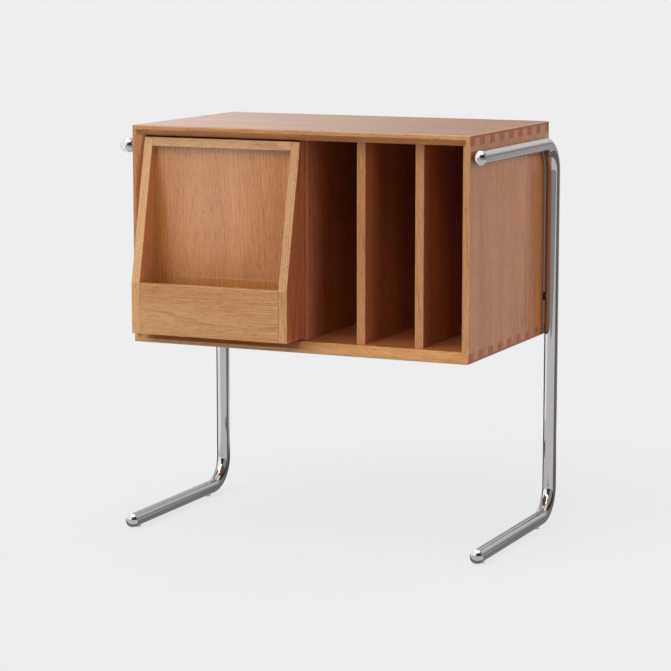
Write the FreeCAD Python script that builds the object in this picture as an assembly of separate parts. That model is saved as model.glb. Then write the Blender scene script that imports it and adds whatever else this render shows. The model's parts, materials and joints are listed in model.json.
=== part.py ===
import FreeCAD, Part
import math
import os
from FreeCAD import Vector

# Side cabinet: a finger-jointed wooden case hung between two bent tube frames.
# The left bay holds a pull-out display front, the right bay three open slots.
# Millimetres. X to the right, Y to the back, Z up, floor at Z = 0,
# origin under the middle of the whole piece.

# Case
CASE_W = 640.0
CASE_D = 396.0
CASE_H = 387.0
BOARD = 18.5
EASE = 2.0                 # rounding of the outer edges
EDGE_EASE = 1.0            # rounding of the front edges inside the case
MOUTH_LIP = 7.3            # flat rim left at the front of the boards
MOUTH_DEPTH = 16.0         # depth of the bevel round the front opening
FINGERS = 17               # fingers and gaps along the depth of a corner
FINGER_SKIN = 5.0          # wood left over the side fingers, which stop short
DIVIDER = 16.0
SLOT_W = 92.5              # the first two open slots, the third takes the rest
BAY_W = 294.5              # clear width of the left bay
HOUSING = 5.0              # how deep a board is let into its neighbour
DIVIDER_SETBACK = 28.5
BACK_T = 8.0
BACK_RECESS = 30.0         # space behind the back board, for the rear bolts

# Display front
REACH = 46.0               # how far the lip stands in front of the case
TOP_SETBACK = 10.0         # how far the top edge stands behind the case front
DISPLAY_REAR = 26.0        # rear face of the display, behind the case front
STILE = 16.5
LIP_T = 14.5
LIP_H = 90.0
RAIL_H = 15.0
DISPLAY_BACK_T = 8.0
DISPLAY_FLOOR_T = 10.0
RABBET = 6.0
SIDE_GAP = 1.5
TOP_GAP = 2.5
BOTTOM_GAP = 4.0
REVEAL = 6.0               # edge of the partition left showing beside the display
DOWEL_R = 3.0
DOWEL_IN_STILE = 10.0
DOWEL_IN_BOARD = 16.0

# Drawer box
RUNNER_GAP = 12.8          # room for a runner on each side of the box
BOX_WALL = 12.0
BOX_DEPTH = 310.0
BOX_H = 215.0
BOX_LIFT = 12.0            # height of the box over the case floor
BOX_FINGERS = 9
BOX_BOTTOM_T = 6.0
BOX_BOTTOM_LIFT = 10.0
BOX_GROOVE = 6.0
BOX_BACK_DROP = 18.0       # the rear wall of the box is lower than the sides

# Runners
RUNNER_L = 300.0
RUNNER_START = 4.0         # from the rear face of the display
RUNNER_Z = 100.0           # centre height over the case floor
STEEL = 1.2
CASE_MEMBER = (0.0, 10.0, 22.5)      # web, flange tip, half height
MIDDLE_MEMBER = (5.0, 11.0, 17.0)
DRAWER_MEMBER = (11.6, 7.4, 11.0)
RUNNER_SCREW_R = 2.0
RUNNER_SCREW_HEAD_R = 4.0
RUNNER_SCREW_HEAD_T = 2.2
RUNNER_SCREW_L = 10.0
RUNNER_SCREW_PLACES = (35.0, 150.0, 265.0)
FRONT_SCREW_L = 18.0
FRONT_SCREW_EDGE = 30.0

# Tube frames
TUBE_R = 12.5
TUBE_WALL = 1.5
BEND_R = 52.0
STANDOFF = 2.2             # saddle washer between case and tube
TUBE_DROP = 37.5           # top run below the top of the case
FOOT_DROP = 332.0          # foot run below the bottom of the case
UPRIGHT_BACK = 379.0       # centre of the upright behind the case front
CAP_FRONT = 3.0            # crown of a cap behind the case front
CAP_DOME = 4.3             # height of the crown over its rim
CAP_BAND = 1.2             # straight rim between crown and tube
CAP_PLUG_R = 10.8
CAP_PLUG_L = 14.0
BOLT_R = 3.0
BOLT_HOLE_R = 3.3
BOLT_HEAD_R = 6.0
BOLT_HEAD_T = 3.5
BOLT_KEY = 4.0             # across the flats of the key socket
BOLT_KEY_DEPTH = 2.0
TOP_BOLTS = (75.0, 300.0)  # along the top run, behind the case front
LOW_BOLT = 70.0            # on the upright, over the bottom of the case
WASHER_R = 8.0
INSERT_R = 4.5
INSERT_PAST_CENTRE = 2.0
GLIDE_H = 2.5
GLIDE_R = 6.0
GLIDE_PEG_R = 2.5
GLIDE_PEG_L = 6.0
GLIDE_PEG_ROOT = 1.2       # start of the peg, inside the pad
GLIDE_PLACES = (30.0, 310.0)

# Planes that follow from the sizes above
left = -CASE_W / 2
right = CASE_W / 2
front = -(CASE_D + REACH) / 2 + REACH
rear = front + CASE_D
foot_z = GLIDE_H + TUBE_R
bottom = foot_z + FOOT_DROP
top = bottom + CASE_H
floor_z = bottom + BOARD
ceiling_z = top - BOARD
bay_left = left + BOARD
bay_right = bay_left + BAY_W
partition_right = bay_right + DIVIDER
back_face = rear - BACK_RECESS - BACK_T
display_left = bay_left + SIDE_GAP
display_right = partition_right - REVEAL
display_bottom = floor_z + BOTTOM_GAP
display_top = ceiling_z - TOP_GAP
display_rear = front + DISPLAY_REAR
display_back_face = display_rear - DISPLAY_BACK_T
lip_face = front - REACH
lip_top = display_bottom + LIP_H
top_edge = front + TOP_SETBACK
inner_left = display_left + STILE
inner_right = display_right - STILE
box_left = bay_left + RUNNER_GAP
box_right = bay_right - RUNNER_GAP
box_front = display_rear
box_rear = box_front + BOX_DEPTH
box_bottom = floor_z + BOX_LIFT
box_top = box_bottom + BOX_H
runner_front = display_rear + RUNNER_START
runner_z = floor_z + RUNNER_Z
tube_top_z = top - TUBE_DROP
tube_offset = CASE_W / 2 + STANDOFF + TUBE_R
upright_y = front + UPRIGHT_BACK
tube_end_y = front + CAP_FRONT + CAP_DOME + CAP_BAND
SIDES = (-1, 1)
ALONG_X = Vector(1, 0, 0)
ALONG_Y = Vector(0, 1, 0)
ALONG_Z = Vector(0, 0, 1)


def box(x0, x1, y0, y1, z0, z1):
    """A block between two X, two Y and two Z planes, given in any order."""
    low = Vector(min(x0, x1), min(y0, y1), min(z0, z1))
    return Part.makeBox(abs(x1 - x0), abs(y1 - y0), abs(z1 - z0), low)


def rod(x, y, z, along, radius, length):
    """A round bar that starts at a point and runs along a direction."""
    return Part.makeCylinder(radius, length, Vector(x, y, z), along)


def prism(points, x0, x1):
    """A block with a Y-Z outline, from one X plane to another."""
    corners = [Vector(x0, y, z) for y, z in points]
    outline = Part.makePolygon(corners + corners[:1])
    return Part.Face(outline).extrude(Vector(x1 - x0, 0, 0))


def joined(shapes):
    """One solid from blocks that share faces."""
    return shapes[0].multiFuse(shapes[1:]).removeSplitter()


def save(name, *solids):
    """Write one sub-part, or a group of separate solids of one kind."""
    shape = solids[0] if len(solids) == 1 else Part.makeCompound(list(solids))
    shape.exportStep("parts/" + name + ".step")


# Case

def mouth():
    """The tapered block that bevels the front opening of the case."""
    slope = (BOARD - MOUTH_LIP) / MOUTH_DEPTH
    overrun = MOUTH_LIP / 2
    rings = []
    for y, inset in ((front - overrun, MOUTH_LIP - slope * overrun), (front + MOUTH_DEPTH, BOARD)):
        x0, x1, z0, z1 = left + inset, right - inset, bottom + inset, top - inset
        ring = [Vector(x0, y, z0), Vector(x1, y, z0), Vector(x1, y, z1), Vector(x0, y, z1)]
        rings.append(Part.makePolygon(ring + ring[:1]))
    return Part.makeLoft(rings, True, True)


def side_range(side):
    """Outer and inner X of the left (-1) or right (1) side board."""
    outer = side * CASE_W / 2
    return outer, outer - side * BOARD


def side_fingers(side):
    """Fingers of a side board, which stop under the skin of the top and bottom boards."""
    pitch = CASE_D / FINGERS
    outer, inner = side_range(side)
    blocks = []
    for place in range(1, FINGERS, 2):
        y0 = front + place * pitch
        blocks.append(box(outer, inner, y0, y0 + pitch, ceiling_z, top - FINGER_SKIN))
        blocks.append(box(outer, inner, y0, y0 + pitch, bottom + FINGER_SKIN, floor_z))
    return blocks


def eased_envelope():
    """The outside of the case with its edges rounded."""
    block = box(left, right, front, rear, bottom, top)
    return block.makeFillet(EASE, block.Edges)


def upright_board(x0, thickness):
    """A partition or divider, let into the top and bottom boards."""
    board = box(x0, x0 + thickness, front + DIVIDER_SETBACK, back_face,
                floor_z - HOUSING, ceiling_z + HOUSING)
    edges = [e for e in board.Edges if is_upright(e) and at_y(e, front + DIVIDER_SETBACK)]
    return board.makeFillet(EDGE_EASE, edges)


def is_upright(edge):
    """True for an edge that runs along Z."""
    return abs(edge.BoundBox.ZLength - edge.Length) < 1e-6


def at_y(edge, y):
    """True for an edge that lies in one Y plane."""
    return abs(edge.BoundBox.YMin - y) < 1e-6 and abs(edge.BoundBox.YMax - y) < 1e-6


def back_board():
    """Back of the case, let into a groove in all four boards."""
    return box(bay_left - HOUSING, right - BOARD + HOUSING, back_face, back_face + BACK_T,
               floor_z - HOUSING, ceiling_z + HOUSING)


def case_boards(uprights, back):
    """Top, bottom, left and right boards with their joints, grooves and bevel."""
    fingers = {side: side_fingers(side) for side in SIDES}
    envelope = eased_envelope()
    opening = mouth()
    boards = {
        "top_panel": box(left, right, front, rear, ceiling_z, top),
        "bottom_panel": box(left, right, front, rear, bottom, floor_z),
    }
    for name in boards:
        boards[name] = boards[name].cut(fingers[-1] + fingers[1]).cut(uprights)
    for name, side in (("left_panel", -1), ("right_panel", 1)):
        outer, inner = side_range(side)
        body = box(outer, inner, front, rear, floor_z, ceiling_z)
        boards[name] = joined([body] + fingers[side]).cut(bolt_holes(side))
    for name in boards:
        boards[name] = boards[name].cut(back).common(envelope).cut(opening)
    return boards


# Display front

def lean_y(z):
    """Y of the leaning front edge of the display at a height."""
    share = (z - lip_top) / (display_top - lip_top)
    return lip_face + share * (top_edge - lip_face)


def display_stile(x0, x1):
    """Side of the display, with the leaning front edge."""
    outline = [(display_rear, display_bottom), (display_rear, display_top), (top_edge, display_top),
               (lip_face, lip_top), (lip_face, display_bottom)]
    board = prism(outline, x0, x1)
    edges = [e for e in board.Edges if e.BoundBox.YMax < display_rear - 1e-6]
    return board.makeFillet(EDGE_EASE, edges)


def display_lip():
    """Board across the front that keeps magazines in the pocket."""
    board = box(inner_left, inner_right, lip_face, lip_face + LIP_T, display_bottom, lip_top)
    edges = [e for e in board.Edges if e.BoundBox.ZMin > lip_top - 1e-6 and e.Length > LIP_T + 1]
    return board.makeFillet(EDGE_EASE, edges)


def display_rail():
    """Top rail, flush with the leaning edges of the sides."""
    low = display_top - RAIL_H
    outline = [(display_back_face, low), (display_back_face, display_top),
               (top_edge, display_top), (lean_y(low), low)]
    return prism(outline, inner_left, inner_right)


def display_dowels():
    """Dowels from the sides into the lip and the top rail."""
    places = [(lip_face + LIP_T / 2, display_bottom + LIP_H * share) for share in (0.25, 0.75)]
    places.append(((lean_y(display_top - RAIL_H / 2) + display_back_face) / 2, display_top - RAIL_H / 2))
    length = DOWEL_IN_STILE + DOWEL_IN_BOARD
    pegs = []
    for y, z in places:
        pegs.append(rod(inner_left - DOWEL_IN_STILE, y, z, ALONG_X, DOWEL_R, length))
        pegs.append(rod(inner_right - DOWEL_IN_BOARD, y, z, ALONG_X, DOWEL_R, length))
    return pegs


def display_front():
    """All boards of the display, fitted to each other."""
    pegs = display_dowels()
    back = box(inner_left - RABBET, inner_right + RABBET, display_back_face, display_rear,
               display_bottom, display_top)
    floor = box(inner_left - HOUSING, inner_right + HOUSING, lip_face + LIP_T, display_back_face,
                display_bottom, display_bottom + DISPLAY_FLOOR_T)
    return {
        "display_left_side": display_stile(display_left, inner_left).cut([back, floor] + pegs),
        "display_right_side": display_stile(inner_right, display_right).cut([back, floor] + pegs),
        "display_lip": display_lip().cut(pegs),
        "display_top_rail": display_rail().cut(pegs),
        "display_back": back,
        "display_floor": floor,
        "display_dowels": Part.makeCompound(pegs),
    }


# Drawer box

def corner_fingers(x0, x1, y0, y1, first):
    """Every second finger of one upright corner of the box."""
    pitch = BOX_H / BOX_FINGERS
    return [box(x0, x1, y0, y1, box_bottom + place * pitch, box_bottom + (place + 1) * pitch)
            for place in range(first, BOX_FINGERS, 2)]


def drawer_box():
    """Finger-jointed box with a grooved-in bottom."""
    walls_x = ((box_left, box_left + BOX_WALL), (box_right - BOX_WALL, box_right))
    walls_y = ((box_front, box_front + BOX_WALL), (box_rear - BOX_WALL, box_rear))
    of_ends = []
    of_sides = []
    for x0, x1 in walls_x:
        for y0, y1 in walls_y:
            of_ends += corner_fingers(x0, x1, y0, y1, 0)
            of_sides += corner_fingers(x0, x1, y0, y1, 1)
    groove_z = box_bottom + BOX_BOTTOM_LIFT
    panel = box(box_left + BOX_WALL - BOX_GROOVE, box_right - BOX_WALL + BOX_GROOVE,
                box_front + BOX_WALL - BOX_GROOVE, box_rear - BOX_WALL + BOX_GROOVE,
                groove_z, groove_z + BOX_BOTTOM_T)
    boards = {"drawer_bottom": panel}
    for name, (x0, x1) in zip(("drawer_left_side", "drawer_right_side"), walls_x):
        boards[name] = box(x0, x1, box_front, box_rear, box_bottom, box_top).cut(of_ends + [panel])
    for name, (y0, y1) in zip(("drawer_box_front", "drawer_box_back"), walls_y):
        boards[name] = box(box_left, box_right, y0, y1, box_bottom, box_top).cut(of_sides + [panel])
    relief = box(box_left + BOX_WALL, box_right - BOX_WALL, box_rear - BOX_WALL, box_rear,
                 box_top - BOX_BACK_DROP, box_top)
    boards["drawer_box_back"] = boards["drawer_box_back"].cut(relief)
    return boards


def wood_screw(x, y, z, along, length):
    """Round-headed screw; the point given is under its head."""
    shank = rod(x, y, z, along, RUNNER_SCREW_R, length)
    head_start = Vector(x, y, z) - along * RUNNER_SCREW_HEAD_T
    head = rod(head_start.x, head_start.y, head_start.z, along, RUNNER_SCREW_HEAD_R, RUNNER_SCREW_HEAD_T)
    return joined([shank, head])


def front_screws():
    """Screws from inside the box into the back of the display."""
    screws = []
    for x in (box_left + BOX_WALL + FRONT_SCREW_EDGE, box_right - BOX_WALL - FRONT_SCREW_EDGE):
        for z in (box_bottom + FRONT_SCREW_EDGE, box_top - FRONT_SCREW_EDGE):
            screws.append(wood_screw(x, box_front + BOX_WALL, z, -ALONG_Y, FRONT_SCREW_L))
    return screws


# Runners

def runner_member(plane, toward, member):
    """A folded steel channel; the sizes are web, flange tip and half height."""
    web, tip, half = member
    end = runner_front + RUNNER_L
    web_far = web + STEEL
    flange_start = min(web, tip)
    flange_end = max(web_far, tip)
    parts = [box(plane + toward * web, plane + toward * web_far, runner_front, end,
                 runner_z - half, runner_z + half)]
    for low in (-half, half - STEEL):
        parts.append(box(plane + toward * flange_start, plane + toward * flange_end, runner_front, end,
                         runner_z + low, runner_z + low + STEEL))
    return joined(parts)


def runner_screws(plane, toward, depth, into):
    """Screws along one runner member, at a depth from the mounting plane."""
    along = Vector(toward * into, 0, 0)
    x = plane + toward * depth
    return [wood_screw(x, runner_front + place, runner_z, along, RUNNER_SCREW_L)
            for place in RUNNER_SCREW_PLACES]


def runners():
    """Both runners, their screws, and the blocks they take out of the wood."""
    members = {}
    case_screws = []
    drawer_screws = []
    for name, plane, toward in (("left", bay_left, 1), ("right", bay_right, -1)):
        outer = runner_screws(plane, toward, STEEL, -1)
        inner = runner_screws(plane, toward, DRAWER_MEMBER[0], 1)
        members["runner_%s_case" % name] = runner_member(plane, toward, CASE_MEMBER).cut(outer)
        members["runner_%s_middle" % name] = runner_member(plane, toward, MIDDLE_MEMBER)
        members["runner_%s_drawer" % name] = runner_member(plane, toward, DRAWER_MEMBER).cut(inner)
        case_screws += outer
        drawer_screws += inner
    return members, case_screws, drawer_screws


# Tube frames

def tube_path(x):
    """Centre line of a frame: top run, bend, upright, bend, foot run."""
    turn = BEND_R * math.sqrt(0.5)
    top_turn = Vector(x, upright_y - BEND_R + turn, tube_top_z - BEND_R + turn)
    foot_turn = Vector(x, upright_y - BEND_R + turn, foot_z + BEND_R - turn)
    points = [Vector(x, tube_end_y, tube_top_z), Vector(x, upright_y - BEND_R, tube_top_z),
              Vector(x, upright_y, tube_top_z - BEND_R), Vector(x, upright_y, foot_z + BEND_R),
              Vector(x, upright_y - BEND_R, foot_z), Vector(x, tube_end_y, foot_z)]
    edges = [Part.LineSegment(points[0], points[1]).toShape(),
             Part.Arc(points[1], top_turn, points[2]).toShape(),
             Part.LineSegment(points[2], points[3]).toShape(),
             Part.Arc(points[3], foot_turn, points[4]).toShape(),
             Part.LineSegment(points[4], points[5]).toShape()]
    return Part.Wire(edges)


def swept(x, radius):
    """A solid bar of one radius along the frame."""
    ring = Part.Wire(Part.Circle(Vector(x, tube_end_y, tube_top_z), ALONG_Y, radius).toShape())
    return tube_path(x).makePipeShell([ring], True, False)


def end_cap(x, z):
    """Domed cap with a plug that fits inside the tube."""
    rim = tube_end_y - CAP_BAND
    crown = rim - CAP_DOME
    ball_r = (TUBE_R ** 2 + CAP_DOME ** 2) / (2 * CAP_DOME)
    half_r = TUBE_R / 2
    half_y = crown + ball_r - math.sqrt(ball_r ** 2 - half_r ** 2)
    corners = [Vector(x + r, y, z) for r, y in (
        (TUBE_R, rim), (TUBE_R, tube_end_y), (CAP_PLUG_R, tube_end_y),
        (CAP_PLUG_R, tube_end_y + CAP_PLUG_L), (0, tube_end_y + CAP_PLUG_L), (0, crown))]
    dome = Part.Arc(corners[-1], Vector(x + half_r, half_y, z), corners[0]).toShape()
    outline = Part.Wire([dome] + Part.makePolygon(corners).Edges)
    return Part.Face(outline).revolve(Vector(x, crown, z), ALONG_Y, 360)


def bolt_places():
    """Y and Z of the bolts of one frame."""
    places = [(front + y, tube_top_z) for y in TOP_BOLTS]
    places.append((upright_y, bottom + LOW_BOLT))
    return places


def bolt_holes(side):
    """Clearance holes through a side board."""
    outer, inner = side_range(side)
    return [rod(min(outer, inner), y, z, ALONG_X, BOLT_HOLE_R, BOARD) for y, z in bolt_places()]


def bolt(side, y, z):
    """Socket-headed bolt from inside the case to the centre of the tube."""
    outer, inner = side_range(side)
    along = ALONG_X * side
    shank = rod(inner, y, z, along, BOLT_R, abs(side * tube_offset - inner))
    head = rod(inner - side * BOLT_HEAD_T, y, z, along, BOLT_HEAD_R, BOLT_HEAD_T)
    rim = [e for e in head.Edges if abs(e.BoundBox.XMin - (inner - side * BOLT_HEAD_T)) < 1e-6
           and e.BoundBox.XLength < 1e-6]
    head = head.makeFillet(BOLT_HEAD_T / 2, rim)
    corners = []
    for step in range(6):
        angle = math.radians(60 * step)
        reach = BOLT_KEY / math.sqrt(3)
        corners.append((y + reach * math.cos(angle), z + reach * math.sin(angle)))
    key = prism(corners, inner - side * BOLT_HEAD_T, inner - side * (BOLT_HEAD_T - BOLT_KEY_DEPTH))
    return joined([shank, head]).cut(key)


def frame(side):
    """One tube frame with its caps, bolts, washers, inserts and glides."""
    x = side * tube_offset
    outside = swept(x, TUBE_R)
    tube = outside.cut(swept(x, TUBE_R - TUBE_WALL))
    bolts = [bolt(side, y, z) for y, z in bolt_places()]
    panel_face = side * CASE_W / 2
    washers = []
    inserts = []
    for (y, z), screw in zip(bolt_places(), bolts):
        saddle = rod(panel_face, y, z, ALONG_X * side, WASHER_R, STANDOFF + TUBE_R)
        bore = rod(panel_face, y, z, ALONG_X * side, BOLT_HOLE_R, STANDOFF + TUBE_R)
        start = panel_face + side * (STANDOFF + TUBE_WALL / 2)
        length = TUBE_R - TUBE_WALL / 2 + INSERT_PAST_CENTRE
        insert = rod(start, y, z, ALONG_X * side, INSERT_R, length)
        washers.append(saddle.cut([outside, bore, insert]))
        tube = tube.cut([insert, bore])
        inserts.append(insert.cut(screw))
    glides = []
    for place in GLIDE_PLACES:
        pad = rod(x, front + place, 0, ALONG_Z, GLIDE_R, foot_z).cut(outside)
        peg = rod(x, front + place, GLIDE_PEG_ROOT, ALONG_Z, GLIDE_PEG_R, GLIDE_PEG_L)
        tube = tube.cut(peg)
        glides.append(joined([pad, peg]))
    caps = [end_cap(x, tube_top_z), end_cap(x, foot_z)]
    return tube, caps, bolts, washers, inserts, glides


# Put the pieces together and write them

os.makedirs("parts", exist_ok=True)

partition = upright_board(bay_right, DIVIDER)
divider_1 = upright_board(partition_right + SLOT_W, DIVIDER)
divider_2 = upright_board(partition_right + 2 * SLOT_W + DIVIDER, DIVIDER)
back_panel = back_board()
boards = case_boards([partition, divider_1, divider_2], back_panel)
members, case_screws, drawer_screws = runners()
boards["left_panel"] = boards["left_panel"].cut(case_screws)
boards["back_panel"] = back_panel
boards["partition"] = partition.cut(case_screws)
boards["divider_1"] = divider_1
boards["divider_2"] = divider_2

fixings = front_screws()
display = display_front()
display["display_back"] = display["display_back"].cut(fixings)
drawer = drawer_box()
drawer["drawer_box_front"] = drawer["drawer_box_front"].cut(fixings)
for name in ("drawer_left_side", "drawer_right_side"):
    drawer[name] = drawer[name].cut(drawer_screws)

for pieces in (boards, display, drawer, members):
    for name, shape in pieces.items():
        save(name, shape)
save("drawer_front_screws", *fixings)
save("runner_case_screws", *case_screws)
save("runner_drawer_screws", *drawer_screws)

hardware = {"leg_end_caps": [], "leg_bolts": [], "leg_washers": [], "leg_inserts": [], "foot_glides": []}
for name, side in (("left_leg_tube", -1), ("right_leg_tube", 1)):
    tube, *groups = frame(side)
    save(name, tube)
    for group, solids in zip(hardware, groups):
        hardware[group] += solids
for name, solids in hardware.items():
    save(name, *solids)

print("case front at Y", front, "bottom at Z", bottom, "top at Z", top)
print("display X", display_left, display_right, "Z", display_bottom, display_top)
print("drawer box X", box_left, box_right, "Y", box_front, box_rear, "Z", box_bottom, box_top)
print("slots X", partition_right, partition_right + SLOT_W, partition_right + SLOT_W + DIVIDER,
      partition_right + 2 * SLOT_W + DIVIDER, partition_right + 2 * (SLOT_W + DIVIDER), right - BOARD)
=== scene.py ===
# %% [markdown]
# # A side cabinet hung between bent chrome tubes
# The real piece is a finger-jointed case of lacquered cherry. Its left bay has a drawer behind a
# leaning magazine display, its right bay has open slots for records, and two C-shaped tubes carry it.
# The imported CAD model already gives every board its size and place. This lesson gives each surface its
# finish, remakes the polished metal as smooth meshes, and sets the piece in a small plain studio.

# %% Load the fixed frame
import json
import math

import bmesh
import bpy
from mathutils import Matrix, Vector


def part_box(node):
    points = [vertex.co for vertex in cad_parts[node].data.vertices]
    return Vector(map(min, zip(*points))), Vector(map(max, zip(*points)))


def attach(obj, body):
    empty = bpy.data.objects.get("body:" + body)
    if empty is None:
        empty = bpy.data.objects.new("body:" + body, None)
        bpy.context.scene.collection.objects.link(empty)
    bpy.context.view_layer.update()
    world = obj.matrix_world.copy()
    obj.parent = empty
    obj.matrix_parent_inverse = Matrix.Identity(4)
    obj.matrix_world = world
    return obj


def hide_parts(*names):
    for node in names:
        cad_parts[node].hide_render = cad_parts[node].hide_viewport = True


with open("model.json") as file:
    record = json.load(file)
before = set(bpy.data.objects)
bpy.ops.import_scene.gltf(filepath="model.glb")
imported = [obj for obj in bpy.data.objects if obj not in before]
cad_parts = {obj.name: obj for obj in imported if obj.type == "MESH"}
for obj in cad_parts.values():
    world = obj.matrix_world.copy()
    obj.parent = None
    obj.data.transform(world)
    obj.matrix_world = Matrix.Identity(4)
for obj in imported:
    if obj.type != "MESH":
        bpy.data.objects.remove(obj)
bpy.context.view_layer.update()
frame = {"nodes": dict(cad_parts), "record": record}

MM = 0.001
nodes = frame["nodes"]

# %% [markdown]
# ## Helpers for finishes
# Colours are given as sRGB hex codes, but shaders work in linear light, so one function
# converts them. Node trees could be wired by hand line after line; one small function that adds a node,
# sets it and links it keeps each finish short enough to read as a recipe. Patterns are sized in
# millimetres, and a shader's scale is one over the size.

# %% Colour and node helpers
def colour(code):
    """Linear RGBA of an sRGB hex code."""
    channels = [int(code[i:i + 2], 16) / 255 for i in (0, 2, 4)]
    linear = [c / 12.92 if c <= 0.04045 else ((c + 0.055) / 1.055) ** 2.4 for c in channels]
    return (*linear, 1.0)


def add(tree, kind, inputs=None, **settings):
    """Add one node. Settings are its properties; inputs are values, or outputs of other nodes."""
    node = tree.nodes.new("ShaderNode" + kind)
    for name, value in settings.items():
        setattr(node, name, value)
    for socket, value in (inputs or {}).items():
        if isinstance(value, bpy.types.NodeSocket):
            tree.links.new(value, node.inputs[socket])
        else:
            node.inputs[socket].default_value = value
    return node


def new_finish(name):
    """An empty material, its node tree and its surface shader."""
    material = bpy.data.materials.new(name)
    material.use_nodes = True
    tree = material.node_tree
    return material, tree, tree.nodes["Principled BSDF"]


def give(node_name, material):
    """Put a finish on a CAD node."""
    for slot in nodes[node_name].material_slots:
        slot.material = material


def scale_of(size):
    """Scale of a pattern whose features are this many millimetres large."""
    return 1 / (size * MM)


# Sockets of a Mix node that mixes colours.
MIX_FACTOR, MIX_A, MIX_B = 0, 6, 7
MIX_RESULT = 2
print("green of C8985F in linear light", round(colour("C8985F")[1], 3))

# %% [markdown]
# ## Satin-lacquered cherry
# The boards are cherry under a satin lacquer: red-brown on their broad faces, with a paler lipping along
# their cut edges and a bevel cut through it. A photograph of wood could be wrapped round each board, but
# it would not turn the corner on to the end grain. Here the board is cut out of a log instead: rings are
# counted outwards from a pith that lies beside the board and leans a little, so flat faces show arches,
# edges show stripes and ends show curved rings, all from one solid pattern. Fine fibres and short dark
# pores are noises drawn out along the grain.

# %% Grain of cherry
GRAIN_TURN = {"X": (0, 0, 0), "Y": (0, 0, -math.pi / 2), "Z": (0, math.pi / 2, 0)}
AXIS = {"X": (1, 0, 0), "Y": (0, 1, 0), "Z": (0, 0, 1)}
PITH_LEAN = (0, math.radians(1.9), math.radians(0.8))
# Sizes in millimetres; a pair is a length and a width.
RING = 5.0                      # mean width of a year ring
SWAY = 34                       # how far the rings wander sideways
FIBRE = (60, 1.0)               # fine streaks
PORE = (16, 0.65)               # real pores are finer; at this width they still show
CLOUD = (420, 45)               # slow changes of tone along a board
# Shares of a year ring or of a noise, and how much darker they make the wood.
LATEWOOD = (0.5, 0.97)          # the part of a ring over which it darkens
RING_DEPTH = 0.35
NOISE_SPAN = (0.3, 0.7)         # nearly all values of a noise lie between these
FIBRE_DEPTH = 0.5
CLOUD_DEPTH = (-0.03, 0.27)


def streaks(tree, place, size, detail):
    """Noise drawn out along the grain; size is its length and width."""
    along, across = size
    stretched = add(tree, "Mapping", {"Vector": place, "Scale": (scale_of(along), scale_of(across),
                                                                 scale_of(across))})
    return add(tree, "TexNoise", {"Vector": stretched.outputs[0], "Scale": 1.0, "Detail": detail})


def grain_shade(tree, in_log, depth):
    """How dark the wood is at each spot of the log, from 0 to 1; depth makes the whole board darker."""
    clouds = streaks(tree, in_log, CLOUD, 2.0)
    sway = add(tree, "VectorMath", {0: clouds.outputs["Color"], 1: (0, SWAY * MM, SWAY * MM),
                                    2: in_log}, operation="MULTIPLY_ADD")
    flat = add(tree, "VectorMath", {0: sway.outputs[0], 1: (0, 1, 1)}, operation="MULTIPLY")
    radius = add(tree, "VectorMath", {0: flat.outputs[0]}, operation="LENGTH")
    years = add(tree, "Math", {0: radius.outputs["Value"], 1: RING * MM}, operation="DIVIDE")
    year = add(tree, "Math", {0: years.outputs[0]}, operation="FLOOR")
    season = add(tree, "Math", {0: years.outputs[0]}, operation="FRACT")
    weather = add(tree, "TexWhiteNoise", {"W": year.outputs[0]}, noise_dimensions="1D")
    late = add(tree, "MapRange", {"Value": season.outputs[0], "From Min": LATEWOOD[0],
                                  "From Max": LATEWOOD[1], "To Min": 0.0, "To Max": RING_DEPTH},
               interpolation_type="SMOOTHSTEP")
    rings = add(tree, "Math", {0: late.outputs[0], 1: weather.outputs["Value"]}, operation="MULTIPLY")
    fibres = streaks(tree, in_log, FIBRE, 3.0)
    fibre_share = add(tree, "MapRange", {"Value": fibres.outputs["Fac"], "From Min": NOISE_SPAN[0],
                                         "From Max": NOISE_SPAN[1], "To Min": 0.0,
                                         "To Max": FIBRE_DEPTH})
    tone = add(tree, "MapRange", {"Value": clouds.outputs["Fac"], "From Min": NOISE_SPAN[0],
                                  "From Max": NOISE_SPAN[1], "To Min": depth + CLOUD_DEPTH[0],
                                  "To Max": depth + CLOUD_DEPTH[1]})
    streaky = add(tree, "Math", {0: rings.outputs[0], 1: fibre_share.outputs[0]}, operation="ADD")
    shade = add(tree, "Math", {0: streaky.outputs[0], 1: tone.outputs[0]}, operation="ADD",
                use_clamp=True)
    return shade.outputs[0]


def squareness(tree, normal, axis):
    """1 where a face looks straight along an axis, 0 where it runs beside it."""
    cosine = add(tree, "VectorMath", {0: normal, 1: AXIS[axis]}, operation="DOT_PRODUCT")
    return add(tree, "Math", {0: cosine.outputs["Value"]}, operation="ABSOLUTE").outputs[0]


print("year rings", RING, "mm wide, pores", PORE[1], "mm wide")

# %% [markdown]
# ## Tones and lacquer
# The way a face looks decides its tone: broad face, bevel or lipping. Paler lippings and bevels are
# partly the wood's own and partly painted light, which these faces catch from the lamps; the deeper
# tones of faces inside are painted shade. Painting each of them by hand would take a map for every
# board, while the angle of the face gives it for nothing. End grain soaks up lacquer and turns darker
# and redder, and so the finger joints show. The lacquer is a coat of its own, smooth enough to mirror
# the neighbouring boards softly.

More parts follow.
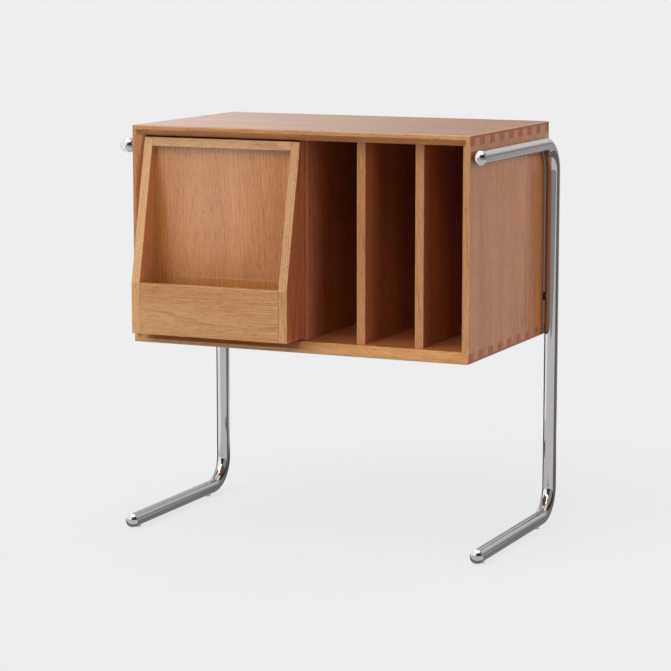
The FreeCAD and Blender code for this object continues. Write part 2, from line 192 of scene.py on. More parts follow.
# %% Cherry finish
# Each pair is the light and the dark streaks of a tone.
LIPPING_AND_PAINTED_LIT = ("CD9A61", "9A5E32")     # most lippings and the front of the display; paler partly as the wood's lipping and partly as painted light, where these faces look towards the lamps
WARM = ("C68B52", "915127")     # lippings of the dividers and the left board
PAINTED_LIT_BEVEL = ("E2A267", "AE6236")     # bevels of the top and the left board, paler as painted light that these bevels catch
PAINTED_SHEEN_BEVEL = ("F0BE86", "BC7C4C")    # bevel of the right board, the palest, as a painted sheen
AMBER = ("CE8A47", "985023")    # the veneered display back
PAINTED_LIT_TOP = ("CC8746", "924B20")    # the top, drawn golden as painted light from above
RED = ("C27F44", "88471F")      # the other veneered faces outside
PAINTED_HALF_SHADE = ("C27946", "884321")     # painted shade, lighter than the faces inside: the left side of the display and the floor of the slots
PAINTED_SHADE = ("C07346", "863F21")     # painted shade: veneered faces inside, drawn deeper and redder where shade falls
END_TONE = ("9E5230", "783B1E")
PORE_TONE = "5C2E14"
# Between these two values of its squareness a face turns into a broad face, a bevel or an end.
BROAD_FACE = (0.86, 0.96)
BEVEL_FACE = (0.7, 0.8)
END_FACE = (0.8, 0.97)
PORE_SPAN = (0.58, 0.7)         # the values of the noise that open into pores
PORE_DEPTH = 0.6
PORE_SINK = 0.12                # depth of the pores in millimetres
PORE_RELIEF = 0.2
CHERRY_ROUGH = (0.36, 0.6)      # between the pores and in them
CHERRY_SPECULAR = 0.25          # little shine of its own under the lacquer
LACQUER_ROUGH = 0.08
END_LACQUER = 0.25              # what is left of the coat on thirsty end grain


def lacquered_cherry(name, grain, through, pith, face_tones, edge_tones, bevel_tones, depth, lacquer):
    """Cherry with its grain along one axis and its thickness along another.

    pith is the place of the board in its log, in metres; depth makes the whole board deeper in tone;
    lacquer is the weight and the refractive index of the coat.
    """
    material, tree, surface = new_finish(name)
    spot = add(tree, "TexCoord")
    normal = spot.outputs["Normal"]
    turned = add(tree, "Mapping", {"Vector": spot.outputs["Object"], "Rotation": GRAIN_TURN[grain]})
    in_log = add(tree, "Mapping", {"Vector": turned.outputs[0], "Location": pith,
                                   "Rotation": PITH_LEAN}).outputs[0]
    shade = grain_shade(tree, in_log, depth)
    broad = squareness(tree, normal, through)
    face_share = add(tree, "MapRange", {"Value": broad, "From Min": BROAD_FACE[0],
                                        "From Max": BROAD_FACE[1]})
    bevel_share = add(tree, "MapRange", {"Value": broad, "From Min": BEVEL_FACE[0],
                                         "From Max": BEVEL_FACE[1]})
    # the paler lipping and bevel tones and the deeper face tones that the tables pass in carry painted
    # light and painted shade
    tones = []
    for edge, bevel, broad_face in zip(edge_tones, bevel_tones, face_tones):
        rim = add(tree, "Mix", {MIX_FACTOR: bevel_share.outputs[0], MIX_A: colour(edge),
                                MIX_B: colour(bevel)}, data_type="RGBA")
        tone = add(tree, "Mix", {MIX_FACTOR: face_share.outputs[0], MIX_A: rim.outputs[MIX_RESULT],
                                 MIX_B: colour(broad_face)}, data_type="RGBA")
        tones.append(tone.outputs[MIX_RESULT])
    light, dark = tones
    body = add(tree, "Mix", {MIX_FACTOR: shade, MIX_A: light, MIX_B: dark}, data_type="RGBA")
    cells = streaks(tree, in_log, PORE, 1.0)
    pores = add(tree, "MapRange", {"Value": cells.outputs["Fac"], "From Min": PORE_SPAN[0],
                                   "From Max": PORE_SPAN[1], "To Min": 0.0, "To Max": PORE_DEPTH})
    face = add(tree, "Mix", {MIX_FACTOR: pores.outputs[0], MIX_A: body.outputs[MIX_RESULT],
                             MIX_B: colour(PORE_TONE)}, data_type="RGBA")
    end_share = add(tree, "MapRange", {"Value": squareness(tree, normal, grain),
                                       "From Min": END_FACE[0], "From Max": END_FACE[1]})
    ends = add(tree, "Mix", {MIX_FACTOR: shade, MIX_A: colour(END_TONE[0]),
                             MIX_B: colour(END_TONE[1])}, data_type="RGBA")
    whole = add(tree, "Mix", {MIX_FACTOR: end_share.outputs[0], MIX_A: face.outputs[MIX_RESULT],
                              MIX_B: ends.outputs[MIX_RESULT]}, data_type="RGBA")
    tree.links.new(whole.outputs[MIX_RESULT], surface.inputs["Base Color"])
    gloss = add(tree, "MapRange", {"Value": pores.outputs[0], "To Min": CHERRY_ROUGH[0],
                                   "To Max": CHERRY_ROUGH[1]})
    tree.links.new(gloss.outputs[0], surface.inputs["Roughness"])
    relief = add(tree, "Bump", {"Height": pores.outputs[0], "Strength": PORE_RELIEF,
                                "Distance": PORE_SINK * MM}, invert=True)
    tree.links.new(relief.outputs[0], surface.inputs["Normal"])
    surface.inputs["Specular IOR Level"].default_value = CHERRY_SPECULAR
    coat = add(tree, "MapRange", {"Value": end_share.outputs[0], "To Min": lacquer[0],
                                  "To Max": END_LACQUER})
    tree.links.new(coat.outputs[0], surface.inputs["Coat Weight"])
    surface.inputs["Coat Roughness"].default_value = LACQUER_ROUGH
    surface.inputs["Coat IOR"].default_value = lacquer[1]
    return material


print("end grain", END_TONE, "pores", PORE_TONE)

# %% [markdown]
# ## Sawing the boards
# Every board gets a place of its own in a log. The pith lies a hand's width behind the middle of the
# board's broad face, so the arches fall on the face, and each board is moved on along the log.
# Short tables name the faces, lippings and bevels that differ from the rest, and the boards that are
# drawn a shade lighter. The display back and the lippings of the dividers and the left board have tones
# of their own; the rest of these entries are painted light and shade: paler where light falls, deeper
# and redder on the faces inside, where shade falls. The display back has a fuller lacquer than the rest,
# in which the side board beside it shows as a crisp mirror image.

# %% Boards of cherry
# The two letters are the axes of a board's grain and of its thickness.
GRAIN_OF = {
    "top_panel": "XZ", "bottom_panel": "XZ", "left_panel": "ZX", "right_panel": "ZX",
    "back_panel": "ZY", "partition": "ZX", "divider_1": "ZX", "divider_2": "ZX",
    "display_left_side": "ZX", "display_right_side": "ZX", "display_back": "ZY",
    "display_lip": "XY", "display_top_rail": "XY", "display_floor": "XZ",
}
# Broad faces that differ from the rest: the top's tone is painted light, the deep ones inside are
# painted shade.
FACES = {
    "top_panel": PAINTED_LIT_TOP, "bottom_panel": PAINTED_HALF_SHADE, "display_back": AMBER, "display_lip": LIPPING_AND_PAINTED_LIT,
    "display_top_rail": LIPPING_AND_PAINTED_LIT, "partition": PAINTED_SHADE, "divider_1": PAINTED_SHADE, "divider_2": PAINTED_SHADE,
    "display_floor": PAINTED_SHADE, "display_left_side": PAINTED_HALF_SHADE, "display_right_side": PAINTED_SHADE,
}
# The partition's deeper lipping is painted shade; the paler bevels are painted light.
LIPPINGS = {"partition": PAINTED_SHADE, "divider_1": WARM, "divider_2": WARM, "left_panel": WARM}
BEVELS = {"top_panel": PAINTED_LIT_BEVEL, "left_panel": PAINTED_LIT_BEVEL, "right_panel": PAINTED_SHEEN_BEVEL}
# Boards drawn a shade lighter are painted light, for the light and sheen they catch.
DEPTH_OF = {"display_left_side": -0.35, "display_back": -0.1, "bottom_panel": -0.1}
# Weight and refractive index of the lacquer.
SATIN = (0.6, 1.5)
POLISHED = (1.0, 1.8)
# Places in the log, in millimetres.
PITH_DEPTH = 85.0
ALONG_LOG = 730.0
PITH_ASIDE = 0.22               # share of a board's width by which its arches leave the middle


def place_in_log(board, grain, number):
    """Shift that puts the pith behind the board's middle, in the turned coordinates of the finish."""
    low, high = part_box(board)
    middle = (low + high) / 2
    size = high - low
    if grain == "Z":
        middle = Vector((middle.z, middle.y, -middle.x))
        size = Vector((size.z, size.y, size.x))
    aside = PITH_ASIDE * (number % 3 - 1)
    if size.y < size.z:
        away = Vector((0, PITH_DEPTH * MM, aside * size.z))
    else:
        away = Vector((0, aside * size.y, PITH_DEPTH * MM))
    return Vector((ALONG_LOG * MM * number, 0, 0)) + away - middle


for number, (board, (grain, through)) in enumerate(GRAIN_OF.items()):
    lipping = LIPPINGS.get(board, LIPPING_AND_PAINTED_LIT)
    finish = lacquered_cherry(
        "lacquered_cherry_" + board, grain, through, place_in_log(board, grain, number),
        face_tones=FACES.get(board, RED), edge_tones=lipping, bevel_tones=BEVELS.get(board, lipping),
        depth=DEPTH_OF.get(board, 0.0), lacquer=POLISHED if board == "display_back" else SATIN)
    give(board, finish)
print("cherry boards", len(GRAIN_OF))

# %% [markdown]
# ## Beech plywood for the drawer box
# Drawer boxes are cut from pale beech plywood. Its faces are quiet, with short flecks; its cut edges
# show the plies as thin stripes. One finish does both: stripes are laid through the thickness of the
# sheet and hidden wherever a face looks along that thickness.

# %% Plywood finish
# Sizes in millimetres; a pair is a length and a width.
PLY = 1.5
BAND = (120, 6)
FLECK = (3.5, 0.8)
BEECH = ("D9B98F", "C19A6C")    # light and dark bands
GLUE = "9A744C"                 # darker plies with their glue, and the flecks
FLECK_SPAN = (0.6, 0.75)        # the values of the noise that are flecks
FLECK_DEPTH = 0.35
GLUE_SPAN = (0.3, 0.7)          # shares of a ply between which a pale stripe turns dark
GLUE_DEPTH = 0.75
PLY_FACE = (0.3, 0.6)           # squareness between which the stripes give way to the face
BEECH_ROUGH = (0.42, 0.6)
SHEET_STEP = Vector((0.3, 0.2, 0))


def beech_plywood(name, grain, through, place):
    """Pale plywood; grain and through are the axes of the face grain and of the thickness."""
    material, tree, surface = new_finish(name)
    spot = add(tree, "TexCoord")
    turned = add(tree, "Mapping", {"Vector": spot.outputs["Object"], "Location": place,
                                   "Rotation": GRAIN_TURN[grain]}).outputs[0]
    bands = streaks(tree, turned, BAND, 3.0)
    flecks = streaks(tree, turned, FLECK, 0.0)
    fleck_share = add(tree, "MapRange", {"Value": flecks.outputs["Fac"], "From Min": FLECK_SPAN[0],
                                         "From Max": FLECK_SPAN[1], "To Min": 0.0,
                                         "To Max": FLECK_DEPTH})
    body = add(tree, "Mix", {MIX_FACTOR: bands.outputs["Fac"], MIX_A: colour(BEECH[0]),
                             MIX_B: colour(BEECH[1])}, data_type="RGBA")
    face = add(tree, "Mix", {MIX_FACTOR: fleck_share.outputs[0], MIX_A: body.outputs[MIX_RESULT],
                             MIX_B: colour(GLUE)}, data_type="RGBA")
    depth = add(tree, "VectorMath", {0: spot.outputs["Object"], 1: AXIS[through]},
                operation="DOT_PRODUCT")
    plies = add(tree, "Math", {0: depth.outputs["Value"], 1: PLY * MM}, operation="PINGPONG")
    stripe = add(tree, "MapRange", {"Value": plies.outputs[0], "From Min": GLUE_SPAN[0] * PLY * MM,
                                    "From Max": GLUE_SPAN[1] * PLY * MM, "To Min": 0.0,
                                    "To Max": GLUE_DEPTH})
    flat = squareness(tree, spot.outputs["Normal"], through)
    edge = add(tree, "MapRange", {"Value": flat, "From Min": PLY_FACE[0], "From Max": PLY_FACE[1],
                                  "To Min": 1.0, "To Max": 0.0})
    striped = add(tree, "Math", {0: stripe.outputs[0], 1: edge.outputs[0]}, operation="MULTIPLY")
    whole = add(tree, "Mix", {MIX_FACTOR: striped.outputs[0], MIX_A: face.outputs[MIX_RESULT],
                              MIX_B: colour(GLUE)}, data_type="RGBA")
    tree.links.new(whole.outputs[MIX_RESULT], surface.inputs["Base Color"])
    gloss = add(tree, "MapRange", {"Value": bands.outputs["Fac"], "To Min": BEECH_ROUGH[0],
                                   "To Max": BEECH_ROUGH[1]})
    tree.links.new(gloss.outputs[0], surface.inputs["Roughness"])
    return material


# The two letters are the axes of a sheet's face grain and of its thickness.
PLY_OF = {
    "drawer_left_side": "YX", "drawer_right_side": "YX", "drawer_box_front": "XY",
    "drawer_box_back": "XY", "drawer_bottom": "YZ", "display_dowels": "XZ",
}
for number, (board, (grain, through)) in enumerate(PLY_OF.items()):
    give(board, beech_plywood("beech_plywood_" + board, grain, through, number * SHEET_STEP))
print("beech pieces", len(PLY_OF))

# %% [markdown]
# ## Polished chrome
# Chrome plate is a mirror with a grey cast: chromium gives back a little over half of the light.
# A perfect mirror looks false, so slow noise dulls it by a hair where hands have wiped it.

# %% Chrome finish
WIPE = 35                       # width of the wipes in millimetres
WIPE_SPAN = (0.3, 0.8)
CHROME = ("C3C0BE", "BAB7B6")
CHROME_ROUGH = (0.03, 0.09)


def polished_chrome(name):
    """Chrome plate on steel."""
    material, tree, surface = new_finish(name)
    spot = add(tree, "TexCoord")
    wipes = add(tree, "TexNoise", {"Vector": spot.outputs["Object"], "Scale": scale_of(WIPE),
                                   "Detail": 3.0})
    tint = add(tree, "Mix", {MIX_FACTOR: wipes.outputs["Fac"], MIX_A: colour(CHROME[0]),
                             MIX_B: colour(CHROME[1])}, data_type="RGBA")
    tree.links.new(tint.outputs[MIX_RESULT], surface.inputs["Base Color"])
    haze = add(tree, "MapRange", {"Value": wipes.outputs["Fac"], "From Min": WIPE_SPAN[0],
                                  "From Max": WIPE_SPAN[1], "To Min": CHROME_ROUGH[0],
                                  "To Max": CHROME_ROUGH[1]})
    tree.links.new(haze.outputs[0], surface.inputs["Roughness"])
    surface.inputs["Metallic"].default_value = 1.0
    return material


chrome = polished_chrome("polished_chrome_plate")
print("made", chrome.name)

# %% [markdown]
# ## The bent tubes
# Each frame is one steel tube bent twice. A CAD mesh of it has few sides, and a mirror shows every
# facet, so the tube is swept again with many: a ring is pushed along the straight runs and spun round
# the two bends. The wall is a second, narrower sweep, and the two are bridged at the open ends.

# %% From a bmesh to a piece
MERGE = 0.002 * MM
SHARP_DEG = 35                  # edges that turn more than this stay crisp


def finish_piece(bm, name, material, body, node):
    """Turn a bmesh into a smooth piece that rides on a body and stands for a CAD node."""
    bmesh.ops.remove_doubles(bm, verts=bm.verts[:], dist=MERGE)
    bmesh.ops.recalc_face_normals(bm, faces=bm.faces[:])
    mesh = bpy.data.meshes.new(name)
    bm.to_mesh(mesh)
    bm.free()
    mesh.shade_smooth()
    mesh.set_sharp_from_angle(angle=math.radians(SHARP_DEG))
    mesh.materials.append(material)
    piece = bpy.data.objects.new(name, mesh)
    bpy.context.scene.collection.objects.link(piece)
    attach(piece, body)
    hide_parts(node)
    print(name, "faces", len(mesh.polygons))


print("edges that turn more than", SHARP_DEG, "degrees stay crisp")

# %% Tube frames
TUBE_SIDES = 72
BEND_STEPS = 28
BEND_R = 52 * MM
TUBE_WALL = 1.5 * MM


def edges_of(geometry):
    """Only the edges in what a bmesh operator returns."""
    return [item for item in geometry if isinstance(item, bmesh.types.BMEdge)]


def pushed(bm, edges, offset):
    """Extrude a ring along a straight run."""
    grown = bmesh.ops.extrude_edge_only(bm, edges=edges)["geom"]
    moved = [item for item in grown if isinstance(item, bmesh.types.BMVert)]
    bmesh.ops.translate(bm, verts=moved, vec=offset)
    return edges_of(grown)


def spun(bm, edges, centre):
    """Carry a ring a quarter turn round a bend; every bend of the frame turns the same way."""
    made = bmesh.ops.spin(bm, geom=edges, cent=centre, axis=(1, 0, 0), angle=-math.pi / 2,
                          steps=BEND_STEPS)
    return edges_of(made["geom_last"])


def swept_skin(bm, radius, low, high):
    """One skin of the tube along top run, bend, upright, bend and foot run; returns both end rings."""
    tube_r = (high.x - low.x) / 2
    x = (high.x + low.x) / 2
    top_z = high.z - tube_r
    foot_z = low.z + tube_r
    bend_y = high.y - tube_r - BEND_R
    stand = Matrix.Translation((x, low.y, top_z)) @ Matrix.Rotation(math.pi / 2, 4, "X")
    ring = bmesh.ops.create_circle(bm, segments=TUBE_SIDES, radius=radius, matrix=stand)
    first = list(dict.fromkeys(edge for vert in ring["verts"] for edge in vert.link_edges))
    last = pushed(bm, first, (0, bend_y - low.y, 0))
    last = spun(bm, last, (x, bend_y, top_z - BEND_R))
    last = pushed(bm, last, (0, 0, foot_z - top_z + 2 * BEND_R))
    last = spun(bm, last, (x, bend_y, foot_z + BEND_R))
    last = pushed(bm, last, (0, low.y - bend_y, 0))
    return first, last


for side in ("left", "right"):
    node = side + "_leg_tube"
    low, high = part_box(node)
    tube = bmesh.new()
    outer_r = (high.x - low.x) / 2
    outer = swept_skin(tube, outer_r, low, high)
    inner = swept_skin(tube, outer_r - TUBE_WALL, low, high)
    for outer_ring, inner_ring in zip(outer, inner):
        bmesh.ops.bridge_loops(tube, edges=outer_ring + inner_ring)
    finish_piece(tube, node + "_chrome", chrome, "case", node)

# %% [markdown]
# ## Domed end caps
# The tubes end in polished domes, like little convex mirrors. Half of the dome's outline is drawn as
# a few points on an arc and spun round the tube's axis, which is rounder than a CAD mesh of that dome.

# %% End caps
CAP_SIDES = 72
DOME_STEPS = 14
CAP_BAND = 1.2 * MM
CAP_RIM = 0.35 * MM
PLUG_R = 10.8 * MM
PLUG_L = 14 * MM


def cap_outline(crown_y, dome, radius):
    """Radius and Y of the cap's profile, from the crown to the end of its plug."""
    ball_r = (radius ** 2 + dome ** 2) / (2 * dome)
    spread = math.asin(radius / ball_r)
    points = []
    for number in range(DOME_STEPS + 1):
        angle = spread * number / DOME_STEPS
        points.append((ball_r * math.sin(angle), crown_y + ball_r * (1 - math.cos(angle))))
    rim_y = crown_y + dome
    seat_y = rim_y + CAP_BAND
    points += [(radius, seat_y - CAP_RIM), (radius - CAP_RIM, seat_y), (PLUG_R, seat_y)]
    points += [(PLUG_R, seat_y + PLUG_L), (0, seat_y + PLUG_L)]
    return points


caps = bmesh.new()
for side in ("left", "right"):
    low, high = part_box(side + "_leg_tube")
    radius = (high.x - low.x) / 2
    centre_x = (low.x + high.x) / 2
    crown_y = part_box("leg_end_caps")[0].y
    profile = cap_outline(crown_y, low.y - crown_y - CAP_BAND, radius)
    for centre_z in (low.z + radius, high.z - radius):
        corners = [caps.verts.new((centre_x + r, y, centre_z)) for r, y in profile]
        outline = [caps.edges.new(pair) for pair in zip(corners, corners[1:])]
        bmesh.ops.spin(caps, geom=corners + outline, cent=(centre_x, 0, centre_z), axis=(0, 1, 0),
                       angle=2 * math.pi, steps=CAP_SIDES, use_merge=True)
finish_piece(caps, "leg_end_caps_domed", chrome, "case", "leg_end_caps")

# %% [markdown]
# ## Small metal and plastic parts
# Runners and screws are zinc-plated sheet steel, rolled along its length, so its faint streaks run
# with the slide. The frame bolts are blackened steel, the washers behind the tubes are black nylon and
# the glides under the feet are milky nylon. Two recipes are enough, one for the metals and one for the
# plastics, each with its own two tones.

# %% Zinc, black steel and nylon
# Sizes in millimetres.
ROLL_LENGTH = 40
ROLL_WIDTH = 0.8
MOULD_GRAIN = 0.4
MOULD_SINK = 0.05
MOULD_RELIEF = 0.3
NYLON_ROUGH = 0.55


def streaked_metal(name, light, dark, rough_low, rough_high):
    """Rolled or plated metal with streaks along Y."""
    material, tree, surface = new_finish(name)
    spot = add(tree, "TexCoord")
    rolled = add(tree, "Mapping", {"Vector": spot.outputs["Object"],
                                   "Scale": (scale_of(ROLL_WIDTH), scale_of(ROLL_LENGTH),
                                             scale_of(ROLL_WIDTH))})
    lines = add(tree, "TexNoise", {"Vector": rolled.outputs[0], "Scale": 1.0, "Detail": 2.0})
    tint = add(tree, "Mix", {MIX_FACTOR: lines.outputs["Fac"], MIX_A: colour(light),
                             MIX_B: colour(dark)}, data_type="RGBA")
    tree.links.new(tint.outputs[MIX_RESULT], surface.inputs["Base Color"])
    gloss = add(tree, "MapRange", {"Value": lines.outputs["Fac"], "To Min": rough_low,
                                   "To Max": rough_high})
    tree.links.new(gloss.outputs[0], surface.inputs["Roughness"])
    surface.inputs["Metallic"].default_value = 1.0
    return material


def moulded_nylon(name, light, dark):
    """Nylon with the fine grain of a spark-eroded mould."""
    material, tree, surface = new_finish(name)
    spot = add(tree, "TexCoord")
    grain = add(tree, "TexNoise", {"Vector": spot.outputs["Object"], "Scale": scale_of(MOULD_GRAIN),
                                   "Detail": 2.0})
    tint = add(tree, "Mix", {MIX_FACTOR: grain.outputs["Fac"], MIX_A: colour(dark),
                             MIX_B: colour(light)}, data_type="RGBA")
    tree.links.new(tint.outputs[MIX_RESULT], surface.inputs["Base Color"])
    relief = add(tree, "Bump", {"Height": grain.outputs["Fac"], "Strength": MOULD_RELIEF,
                                "Distance": MOULD_SINK * MM})
    tree.links.new(relief.outputs[0], surface.inputs["Normal"])
    surface.inputs["Roughness"].default_value = NYLON_ROUGH
    return material


FINISH_OF = {
    "zinc_steel": streaked_metal("rolled_zinc_plated_steel", "C9CBCD", "A9ACB0", 0.24, 0.42),
    "black_steel": streaked_metal("blackened_steel", "3A3A3C", "242426", 0.3, 0.5),
    "black_nylon": moulded_nylon("moulded_black_nylon", "2A2A2B", "1E1E1F"),
    "clear_nylon": moulded_nylon("moulded_milky_nylon", "DAD8D0", "C9C6BC"),
}
for part in frame["record"]["subparts"]:
    if part["material_slot"] in FINISH_OF:
        give(part["node"], FINISH_OF[part["material_slot"]])
print("small finishes", list(FINISH_OF))

# %% [markdown]
# ## The floor of the studio
# A wide pale floor fills the picture. The camera and polished metal see it as pale paper with a faint
# shadow on it, while the light that it throws back is that of a grey floor, so the slots stay dark.

# %% Floor
FLOOR_HALF = 60.0
FLOOR_GREY = "B8B8B8"
PAPER_WHITE = "F5F5F5"
PAPER_SHARE = 0.8               # the rest is the grey floor, which carries the shadow


def stage_sheet(name, corners, material):
    """One flat sheet of the studio, given by its corners in metres."""
    bm = bmesh.new()
    bm.faces.new([bm.verts.new(corner) for corner in corners])
    mesh = bpy.data.meshes.new(name)
    bm.to_mesh(mesh)
    bm.free()
    mesh.materials.append(material)
    sheet = bpy.data.objects.new(name, mesh)
    bpy.context.scene.collection.objects.link(sheet)
    return sheet


def floor_paper(name):
    """Pale paper to the camera and to metal; a grey floor to the light that bounces."""
    material, tree, surface = new_finish(name)
    surface.inputs["Base Color"].default_value = colour(FLOOR_GREY)
    surface.inputs["Roughness"].default_value = 1.0
    surface.inputs["Specular IOR Level"].default_value = 0.0
    path = add(tree, "LightPath")
    seen = add(tree, "Math", {0: path.outputs["Is Camera Ray"], 1: path.outputs["Is Glossy Ray"]},
               operation="ADD")
    looked_at = add(tree, "Math", {0: seen.outputs[0], 1: path.outputs["Is Transmission Ray"]},
                    operation="ADD", use_clamp=True)
    share = add(tree, "Math", {0: looked_at.outputs[0], 1: PAPER_SHARE}, operation="MULTIPLY")
    paper = add(tree, "Emission", {"Color": colour(PAPER_WHITE), "Strength": 1.0})
    both = add(tree, "MixShader", {0: share.outputs[0], 1: surface.outputs[0], 2: paper.outputs[0]})
    tree.links.new(both.outputs[0], tree.nodes["Material Output"].inputs["Surface"])
    return material


stage_sheet("studio_floor", [(-FLOOR_HALF, -FLOOR_HALF, 0), (FLOOR_HALF, -FLOOR_HALF, 0),
                             (FLOOR_HALF, FLOOR_HALF, 0), (-FLOOR_HALF, FLOOR_HALF, 0)],
            floor_paper("matt_floor_paper"))
print("floor", 2 * FLOOR_HALF, "m wide")

# %% [markdown]
# ## The sky of the studio
# A photograph of a studio could light the scene, but a few soft patches in a dark sky need no file and
# can be set one by one: a large softbox at the left front, a lamp high in front, a white wall to the
# left, and dim glows behind, which the top of the case mirrors. A camera near the floor looks past the
# end of it, so to the camera alone the sky is as pale as the floor's far end. Lacquer and metal go on
# mirroring the patches.

# %% Sky
AMBIENT = 0.06
BACKDROP = 0.855                # as bright as the far end of the floor looks
NUMBER_A, NUMBER_B = 2, 3       # sockets of a Mix node that mixes plain numbers
# Each patch has a way to it, the cosines of its outer and inner edge, and a brightness.
SKY = [
    ((-0.30, 0.93, 0.15), 0.80, 0.97, 0.28),    # glow behind, to the left
    ((0.45, 0.88, 0.12), 0.82, 0.95, 0.28),     # glow behind, to the right
    ((-0.93, 0.37, 0.10), 0.66, 0.80, 0.58),    # white wall
    ((0.10, 0.80, 0.60), 0.84, 0.93, 0.42),     # glow behind, higher up
    ((-0.10, -0.55, 0.83), 0.86, 0.93, 3.2),    # lamp high in front
    ((-0.70, -0.62, 0.36), 0.80, 0.90, 1.55),   # softbox
]


def glow_towards(tree, way, low, high, bright):
    """A soft-edged patch of sky round a direction; low and high are cosines of the angle from it."""
    spot = add(tree, "TexCoord")
    near = add(tree, "VectorMath", {0: spot.outputs["Generated"], 1: Vector(way).normalized()},
               operation="DOT_PRODUCT")
    patch = add(tree, "MapRange", {"Value": near.outputs["Value"], "From Min": low, "From Max": high,
                                   "To Min": 0.0, "To Max": bright}, interpolation_type="SMOOTHSTEP")
    return patch.outputs[0]


def soft_sky():
    """Dark surroundings with the bright patches in them, and pale paper where the camera looks."""
    world = bpy.data.worlds.new("studio_sky")
    bpy.context.scene.world = world
    world.use_nodes = True
    tree = world.node_tree
    whole = AMBIENT
    for way, low, high, bright in SKY:
        whole = add(tree, "Math", {0: whole, 1: glow_towards(tree, way, low, high, bright)},
                    operation="ADD").outputs[0]
    path = add(tree, "LightPath")
    shown = add(tree, "Mix", {MIX_FACTOR: path.outputs["Is Camera Ray"], NUMBER_A: whole,
                              NUMBER_B: BACKDROP}, data_type="FLOAT")
    tree.links.new(shown.outputs[0], tree.nodes["Background"].inputs["Strength"])
    tree.nodes["Background"].inputs["Color"].default_value = colour("FFFFFF")


soft_sky()
print("patches in the sky", len(SKY))

# %% [markdown]
# ## Lamps
# The softbox in the sky lights the fronts, and broad weak lamps from the right and from above keep the
# right side and the top from going dull. Suns with a wide disc light every side evenly, whatever their
# distance. The two low ones are hidden from mirrors, so that the lacquer never flares.

# %% Lamps
# Each lamp has a way to it, an energy, the width of its disc in degrees, and whether mirrors see it.
LAMPS = {
    "side_lamp": ((0.93, 0.25, 0.27), 0.86, 40, False),
    "fill_lamp": ((0.92, -0.30, 0.25), 0.85, 40, False),
    "top_lamp": ((0.0, 0.25, 0.97), 0.78, 60, True),
}


def broad_lamp(name, way, energy, spread_deg, in_mirrors):
    """A sun with a wide disc; way points from the object to the lamp."""
    lamp = bpy.data.lights.new(name, "SUN")
    lamp.energy = energy
    lamp.angle = math.radians(spread_deg)
    holder = bpy.data.objects.new(name, lamp)
    bpy.context.scene.collection.objects.link(holder)
    holder.rotation_euler = Vector(way).to_track_quat("Z", "Y").to_euler()
    holder.visible_glossy = in_mirrors


for name, settings in LAMPS.items():
    broad_lamp(name, *settings)
print("lamps", list(LAMPS))

# %% [markdown]
# ## Reflection cards
# Polished tube only looks like metal when it has something to mirror, so photographers lay white and
# black cards round it. Here the cards are sheets that only mirrors can see. Most of them lie on the
# floor, stacked a millimetre apart where they overlap. Three white strips on a dark card are there for
# the display back, which mirrors them as one sheen that fades downwards.

# %% Card helpers
HANG_FAR = 30.0                 # metres to a hanging card


def card(name, grey, strength, corners):
    """A card that only reflections see."""
    material, tree, _ = new_finish(name + "_board")
    glow = add(tree, "Emission", {"Color": colour(grey), "Strength": strength})
    tree.links.new(glow.outputs[0], tree.nodes["Material Output"].inputs["Surface"])
    sheet = stage_sheet(name, corners, material)
    sheet.visible_camera = False
    sheet.visible_diffuse = False
    sheet.visible_transmission = False
    sheet.visible_shadow = False


def lying(*places, layer=1):
    """Corners of a card on the floor; layers are a millimetre apart."""
    return [(x, y, layer * MM) for x, y in places]


def hanging(way, half_across, half_up):
    """Corners of a card far off in a direction, facing the object; its halves are given in degrees."""
    ahead = Vector(way).normalized()
    across = ahead.cross(Vector((0, 0, 1))).normalized()
    up = across.cross(ahead)
    reach = [HANG_FAR * math.tan(math.radians(half)) for half in (half_across, half_up)]
    signs = ((-1, -1), (1, -1), (1, 1), (-1, 1))
    return [HANG_FAR * ahead + a * reach[0] * across + b * reach[1] * up for a, b in signs]


print("hanging cards are", HANG_FAR, "m away")

# %% Cards
# The strips get dimmer towards the display.
WHITE_STRIPS = [
    ("far", 1.0, ((-4.48, -8.11), (-4.06, -8.29), (-2.19, -4.43), (-2.43, -4.32))),
    ("middle", 0.7, ((-2.43, -4.32), (-2.19, -4.43), (-1.93, -3.89), (-2.14, -3.80))),
    ("near", 0.3, ((-2.14, -3.80), (-1.93, -3.89), (-1.77, -3.58), (-1.96, -3.49))),
]
# How far a foot's card reaches past the tube to the left, to the right and in front, and where it ends.
FOOT_LEFT, FOOT_RIGHT, FOOT_FRONT = 30 * MM, 60 * MM, 10 * MM
FOOT_END_Y = 400 * MM

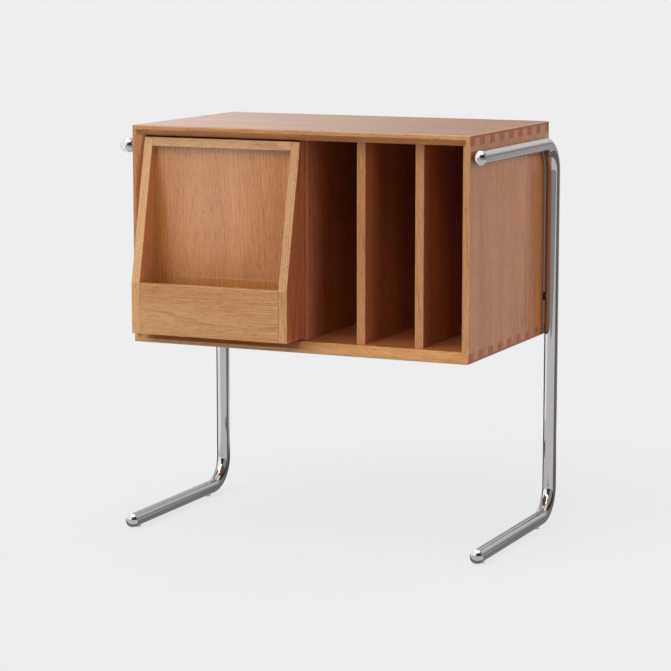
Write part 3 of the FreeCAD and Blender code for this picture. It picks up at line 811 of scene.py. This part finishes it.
card("grey_card_behind", "B9B9B9", 1.0, lying((-40, 1.1), (40, 1.1), (40, 60), (-40, 60)))
card("grey_card_front", "A8A8A8", 1.0,
     lying((-0.3, -40), (40, -40), (40, -1.2), (1.7, -1.7), (-0.3, -2.3)))
card("dark_card_right", "7A7A7A", 1.0,
     lying((-0.1, 0.22), (0.6, 0.17), (8, -0.2), (5.5, 7.5), (0.9, 1.03), (-0.15, 0.5), layer=2))
card("dark_card_left", "303030", 1.0,
     lying((-0.05, 0.24), (-0.42, 0.2), (-8, -0.1), (-7, 6.5), (-0.6, 0.95), (-0.1, 0.5), layer=3))
card("white_card_flat", "FFFFFF", 1.3,
     lying((-0.53, -0.52), (-2.94, -3.84), (-4.99, -0.15), (-0.75, 0.15)))
card("white_card_upright", "FFFFFF", 1.5,
     [(-1.29, -1.58, 0), (-2.2, 0.05, 0), (-2.2, 0.05, 1.6), (-1.29, -1.58, 1.6)])
card("dark_card_display", "747474", 1.0,
     lying((-4.77, -8.37), (-3.03, -8.9), (-0.93, -2.9), (-1.8, -2.9), layer=5))
for name, strength, places in WHITE_STRIPS:
    card("white_strip_display_" + name, "FFFFFF", strength, lying(*places, layer=6))
card("grey_card_overhead", "B0B0B0", 1.0, hanging((0.72, -0.42, 0.55), 26, 34))
# The dark strips under the feet are painted shadow: mirrors see them where the feet's contact shadow
# lies on the floor.
for side in ("left", "right"):
    low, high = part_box(side + "_leg_tube")
    left_x, right_x = low.x - FOOT_LEFT, high.x + FOOT_RIGHT
    front_y = low.y - FOOT_FRONT
    card("painted_shadow_strip_%s_foot" % side, "8C8C8C", 1.0,
         lying((left_x, front_y), (right_x, front_y), (right_x, FOOT_END_Y), (left_x, FOOT_END_Y),
               layer=4))
print("cards are set, with", len(WHITE_STRIPS), "strips for the display back")

# %% [markdown]
# ## The camera
# The picture was taken with a long lens from the right and a little above. The place and tilt below
# come from the straight edges of the case in the photograph.

# %% Camera
CAMERA_PLACE = (1.8123, -4.0505, 1.0416)
CAMERA_TURN = 24.155            # degrees to the left of straight ahead
CAMERA_DIP = 8.823              # degrees below the horizon
LENS_MM = 133.7
FAR_CLIP = 200                  # metres, past the far end of the floor

camera_data = bpy.data.cameras.new("camera")
camera_data.lens = LENS_MM
camera_data.clip_end = FAR_CLIP
camera = bpy.data.objects.new("camera", camera_data)
camera.location = CAMERA_PLACE
camera.rotation_euler = (math.radians(90 - CAMERA_DIP), 0, math.radians(CAMERA_TURN))
bpy.context.scene.collection.objects.link(camera)
bpy.context.scene.camera = camera
bpy.context.scene.view_settings.view_transform = "Standard"
print("camera at", CAMERA_PLACE)
